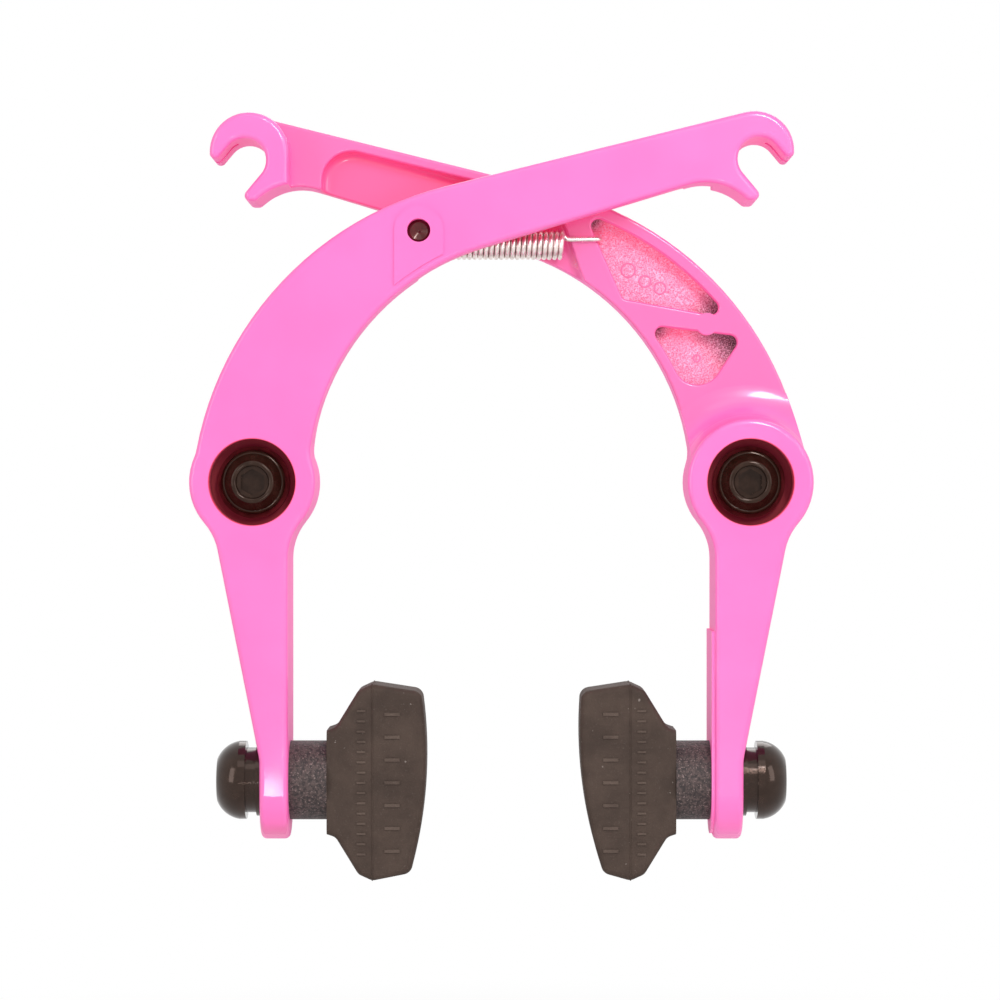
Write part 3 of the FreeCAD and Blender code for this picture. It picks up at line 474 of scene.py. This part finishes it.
def outline_at(node, across):
    """The outer outline of a solid where an upright plane cuts it, as points in millimetres."""
    build = bmesh.new()
    build.from_mesh(nodes[node].data)
    build.transform(nodes[node].matrix_world)
    bmesh.ops.remove_doubles(build, verts=build.verts, dist=1e-7)
    bmesh.ops.bisect_plane(build, geom=build.verts[:] + build.edges[:] + build.faces[:], dist=1e-8,
                           plane_co=(across * MM, 0, 0), plane_no=(1, 0, 0),
                           clear_inner=True, clear_outer=True)
    loop = [max(build.verts, key=lambda vert: vert.co.z)]
    edge = loop[0].link_edges[0]
    while edge.other_vert(loop[-1]) is not loop[0]:
        loop.append(edge.other_vert(loop[-1]))
        edge = next(other for other in loop[-1].link_edges if other is not edge)
    points = [vert.co / MM for vert in loop]
    build.free()
    return points


def pad_marks(side, sign):
    """The ridge left where the mould parts, and rows of plain raised bars beside it."""
    outline = outline_at(f"{side}_pad_block", sign * PARTING_ACROSS)
    ridge = tube(outline, RIDGE_RADIUS, closed=True, sides=8)
    new_piece(f"{side}_pad_ridge", ridge, rubber, f"{side}_pad")
    bars = bmesh.new()
    for across, count, pitch, length, tall in BAR_ROWS:
        for depth in PAD_FACES:
            for step in range(count):
                height = PAD_HEIGHT + (step - (count - 1) / 2) * pitch
                place = Matrix.Translation(Vector((sign * across, depth, height)) * MM)
                size = Matrix.Diagonal((length * MM, 2 * MARK_RISE * MM, tall * MM, 1))
                bmesh.ops.create_cube(bars, size=1, matrix=place @ size)
    new_piece(f"{side}_pad_bars", bars, bar_painted_highlight_rubber, f"{side}_pad")


for side, sign in SIDES:
    half_spring(side, sign)
    mould_rings(side, sign)
    pad_marks(side, sign)


# Pale floor, white surroundings and soft studio light
FLOOR_HEIGHT = -0.13
FLOOR_HALF = 4.0
FLOOR_GREY = (0.86, 0.86, 0.86)
SHADOW_REACH = (0.3, 0.15)
SHADOW_SHARE = 0.3
WORLD_LIT = 0.4
WORLD_SHOWN = 1.0
LENS = 117.3
EYE = (-0.00024, -0.5712, -0.00306)
# Name, place, width, height and power of each lamp
LAMPS = (
    ("box_above", (0.05, -0.45, 0.55), 0.5, 0.25, 0.35),
    ("box_left", (-0.55, -0.5, 0.15), 0.25, 0.5, 1.0),
    ("box_right", (0.55, -0.45, 0.2), 0.25, 0.5, 0.95),
    ("box_behind", (0.1, 0.6, 0.5), 0.5, 0.4, 1.2),
    ("streak_above", (0.14, -0.48, 0.28), 0.08, 0.20, 1.25),
    ("streak_low", (0.02, -0.50, -0.115), 0.04, 0.07, 0.14),
    ("spark_low", (-0.077, -0.55, -0.103), 0.007, 0.012, 0.013),
)


def white_surroundings():
    world = bpy.data.worlds.new("studio")
    world.use_nodes = True
    tree = Tree(world.node_tree)
    lit, shown = (tree.node("ShaderNodeBackground", inputs={"Color": WHITE, "Strength": strength})
                  for strength in (WORLD_LIT, WORLD_SHOWN))
    choice = tree.node("ShaderNodeMixShader", inputs={0: tree.seen_directly(), 1: lit, 2: shown})
    tree.feed(world.node_tree.nodes["World Output"].inputs["Surface"], choice)
    bpy.context.scene.world = world


def pale_floor():
    """White where it is seen directly, with a share left for the object's shadow below it."""
    finish = Finish("pale_floor")
    finish.set(Base_Color=FLOOR_GREY, Roughness=0.9)
    shown = finish.node("ShaderNodeEmission", inputs={"Color": WHITE, "Strength": 1.0})
    plain = Wire(finish, finish.shader.outputs[0])
    x, y, _ = finish.place().parts()
    shadow = far_from(x, y, (0.0, 0.0)).between(*SHADOW_REACH) * SHADOW_SHARE
    choice = finish.node("ShaderNodeMixShader", inputs={
        0: finish.seen_directly() * (1 - shadow), 1: plain, 2: shown})
    finish.feed(finish.tree.nodes["Material Output"].inputs["Surface"], choice)
    build = bmesh.new()
    bmesh.ops.create_grid(build, size=FLOOR_HALF, matrix=Matrix.Translation((0, 0, FLOOR_HEIGHT)))
    mesh = bpy.data.meshes.new("floor")
    build.to_mesh(mesh)
    build.free()
    mesh.materials.append(finish.material)
    floor = bpy.data.objects.new("floor", mesh)
    bpy.context.scene.collection.objects.link(floor)


def soft_box(name, place, width, height, power):
    """A soft lamp that faces the middle of the brake."""
    light = bpy.data.lights.new(name, "AREA")
    light.shape = "RECTANGLE"
    light.size = width
    light.size_y = height
    light.energy = power
    lamp = bpy.data.objects.new(name, light)
    lamp.location = place
    lamp.rotation_euler = (-Vector(place)).to_track_quat("-Z", "Y").to_euler()
    bpy.context.scene.collection.objects.link(lamp)


def camera():
    """Straight from the front, as far off as the photo's perspective shows."""
    data = bpy.data.cameras.new("camera")
    data.sensor_width = 36.0
    data.lens = LENS
    data.clip_start = 0.01
    eye = bpy.data.objects.new("camera", data)
    eye.location = EYE
    eye.rotation_euler = (math.pi / 2, 0, 0)
    bpy.context.scene.collection.objects.link(eye)
    bpy.context.scene.camera = eye


white_surroundings()
pale_floor()
for lamp in LAMPS:
    soft_box(*lamp)
camera()
bpy.context.scene.view_settings.view_transform = "Standard"
